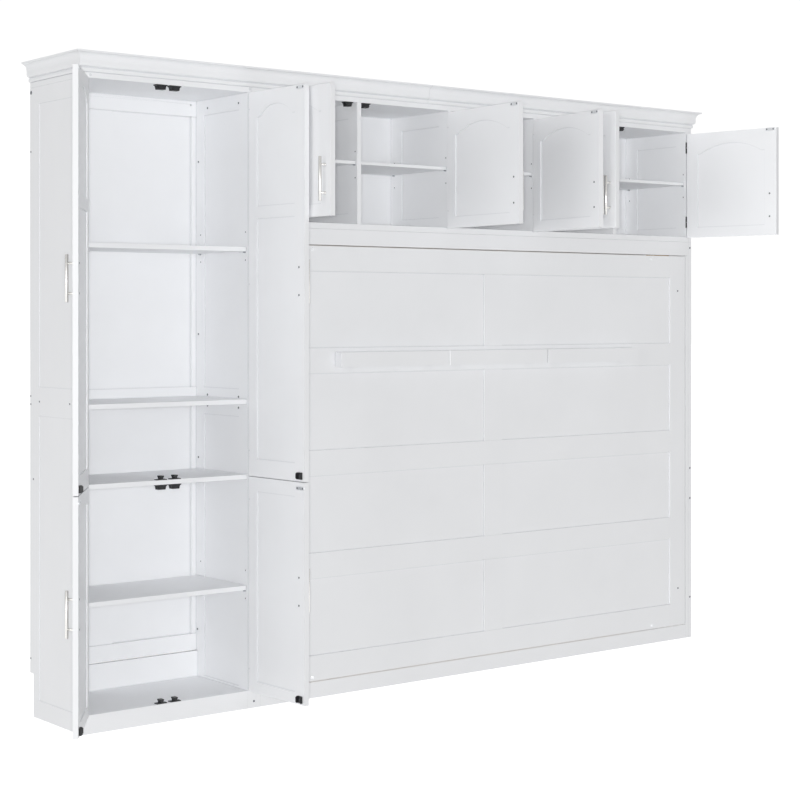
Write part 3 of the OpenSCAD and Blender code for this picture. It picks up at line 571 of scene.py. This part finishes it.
def pin_hole_shade(bm, faces, rows, levels):
    """Black linings of painted shade in holes, in faces that look to the right and to the left by
    turns.
    """
    for number, x in enumerate(faces):
        for y in rows:
            for z in levels:
                turned(bm, PIN_HOLE_SHADE, facing(x, y, z, LEFT if number % 2 else RIGHT), 12)


def fit_pin_hole_shade():
    """Black linings in the shelf pin holes that hold no pin, at the heights to move a shelf to:
    painted shade for the dark of the empty holes.
    """
    def draw(bm):
        pin_hole_shade(bm, TOWER_FACES, TOWER_ROWS, TOWER_LEVELS)
        pin_hole_shade(bm, BAY_FACES, BAY_ROWS, BAY_LEVELS)

    make_piece("shelf_pin_hole_shade", "cabinet", [BLACK_PLASTIC], draw)


# ------------------------------------------------------------------ hinges of the last door

END_HINGE_X = 2928.4
END_HINGE_LEVELS = (1806, 2129)


def fit_end_hinge_marks():
    """Two black strips on the cabinet's front edge, where the last door's two hinges show dark."""
    width, height, thickness = 8.8, 48.4, 1.9

    def draw(bm):
        for z in END_HINGE_LEVELS:
            cut_board(bm, rounded(width, height, 1), thickness,
                      facing(END_HINGE_X, 0, z, FRONT), 0, 0.3)

    make_piece("end_hinge_marks", "cabinet", [BLACK_ENAMEL], draw)


# ------------------------------------------------------------------ screws that show

# Drawing points in mm, read from where each screw shows.
BED_FRONT_SCREWS = [(941, 1644), (941, 77), (2714, 1644), (2714, 77)]
BED_STILE_SCREWS = [(2874, 1507), (2876, 221)]
FRONT_SCREWS = [(2951, 1695), (2951, 737), (2951, 606), (2951, 176), (685, 24)]
TOWER_TOP_SCREWS = [(32, 2206), (668, 2208)]
LEFT_SIDE_TOP_SCREW = [(372, 2180)]
LEFT_SIDE_SCREWS = [(373, 1973), (374, 1119), (374, 1091), (308, 1102), (85, 1102), (354, 830),
                    (374, 202)]
TOWER_WALL_X = 658
TOWER_WALL_SCREWS = [(268, 2164), (59, 2163), (331, 1970), (331, 1332), (331, 876), (268, 1110),
                     (59, 1109), (268, 1070), (59, 1070), (338, 238)]


def screw_heads(name, body, points, r, direction, coat=DULL_STEEL):
    def draw(bm):
        for x, y, z in points:
            turned(bm, screw_profile(r, 0.9), facing(x, y, z, direction), SCREW_SIDES)

    make_piece(name, body, [coat], draw)


def on_front(points):
    return [(x, 0, z) for x, z in points]


def on_side(side_x, points):
    return [(side_x, y, z) for y, z in points]


def fit_screws():
    screw_heads("screws_bed_rails", "bed", on_front(BED_FRONT_SCREWS), 6, FRONT, BRIGHT_ZINC)
    screw_heads("screws_bed_stiles", "bed", on_front(BED_STILE_SCREWS), 4, FRONT)
    screw_heads("screws_cabinet_front", "cabinet", on_front(FRONT_SCREWS), 4, FRONT)
    screw_heads("screws_tower_top", "cabinet", on_front(TOWER_TOP_SCREWS), 5, FRONT, BRIGHT_ZINC)
    screw_heads("screw_left_side_top", "cabinet", on_side(0, LEFT_SIDE_TOP_SCREW), 7, LEFT)
    screw_heads("screws_left_side", "cabinet", on_side(0, LEFT_SIDE_SCREWS), 3.4, LEFT)
    screw_heads("screws_tower_wall", "cabinet", on_side(TOWER_WALL_X, TOWER_WALL_SCREWS), 4, LEFT)


# ------------------------------------------------------------------ floor and light

def softbox(name, azimuth, down, strength, spread):
    """A wide soft light: azimuth turns it from straight ahead to the right, down tips it."""
    lamp = bpy.data.lights.new(name, "SUN")
    lamp.energy = strength
    lamp.angle = math.radians(spread)
    box = bpy.data.objects.new(name, lamp)
    bpy.context.scene.collection.objects.link(box)
    turn = math.radians(azimuth)
    towards = Vector((math.sin(turn), math.cos(turn), -math.tan(math.radians(down))))
    box.rotation_euler = towards.to_track_quat("-Z", "Y").to_euler()


def lamp_by_the_camera(radius_m, power):
    """A round soft lamp where the camera stands. Its light is as strong far off as near by."""
    lamp = bpy.data.lights.new("lamp_by_the_camera", "POINT")
    lamp.shadow_soft_size = radius_m
    lamp.energy = power
    lamp.use_nodes = True
    tree = lamp.node_tree
    tree.nodes.clear()
    even = add(tree, "ShaderNodeLightFalloff", links={"Strength": 1.0})
    glow = add(tree, "ShaderNodeEmission", links={"Strength": even.outputs["Constant"]})
    add(tree, "ShaderNodeOutputLight", links={"Surface": glow.outputs["Emission"]})
    head = bpy.data.objects.new("lamp_by_the_camera", lamp)
    bpy.context.scene.collection.objects.link(head)
    head.location = STAND


# Half the floor's width, how far it lies under the cabinet's foot, and how bright it glows.
HALF_FLOOR_M = 60
FLOOR_DOWN_M = 0.001
FLOOR_GLOW = 0.85


def lay_floor():
    """A wide pale floor that glows a little, so that it meets the white surround unseen."""
    bm = bmesh.new()
    corners = [bm.verts.new((x * HALF_FLOOR_M, y * HALF_FLOOR_M, -FLOOR_DOWN_M)) for x, y in
               ((-1, -1), (1, -1), (1, 1), (-1, 1))]
    bm.faces.new(corners)
    mesh = bpy.data.meshes.new("floor")
    bm.to_mesh(mesh)
    bm.free()
    floor = bpy.data.objects.new("floor", mesh)
    bpy.context.scene.collection.objects.link(floor)
    # Painted studio floor: even, matte and pale.
    pale = finish("pale_studio_floor", "#f3f3f3", "#f6f6f6", mottle_mm=900, rough=(0.7, 0.8),
                  grain_mm=40, grain_depth_mm=0.01, ior=1.45)
    surface = pale.node_tree.nodes["Principled BSDF"]
    surface.inputs["Emission Color"].default_value = (1, 1, 1, 1)
    surface.inputs["Emission Strength"].default_value = FLOOR_GLOW
    mesh.materials.append(pale)
    floor.visible_diffuse = False
    floor.visible_shadow = False


# How bright the surround is, as light on the cabinet, as seen in its metal, and as a backdrop.
SURROUND_LIGHT = 0.42
SURROUND_IN_METAL = 0.8
SURROUND_SEEN = 1.05


def light_studio():
    """A white surround, a small lamp by the camera and a wide one at the left."""
    world = bpy.data.worlds.new("studio")
    bpy.context.scene.world = world
    world.use_nodes = True
    tree = world.node_tree
    tree.nodes.clear()
    ray = add(tree, "ShaderNodeLightPath")
    soft, gleam, white = (
        add(tree, "ShaderNodeBackground", links={"Color": (1, 1, 1, 1), "Strength": strength})
        for strength in (SURROUND_LIGHT, SURROUND_IN_METAL, SURROUND_SEEN))
    on_metal = add(tree, "ShaderNodeMixShader", links={
        "Fac": ray.outputs["Is Glossy Ray"], 1: soft.outputs[0], 2: gleam.outputs[0]})
    both = add(tree, "ShaderNodeMixShader", links={
        "Fac": ray.outputs["Is Camera Ray"], 1: on_metal.outputs[0], 2: white.outputs[0]})
    add(tree, "ShaderNodeOutputWorld", links={"Surface": both.outputs[0]})

    lamp_by_the_camera(radius_m=0.12, power=16.5)
    softbox("softbox_left", azimuth=77, down=3, strength=0.46, spread=30)
    bpy.context.scene.view_settings.view_transform = "Standard"


set_camera()
dress_boards()
fit_doors()
fit_catches()
fit_pin_hole_shade()
fit_end_hinge_marks()
fit_screws()
lay_floor()
light_studio()
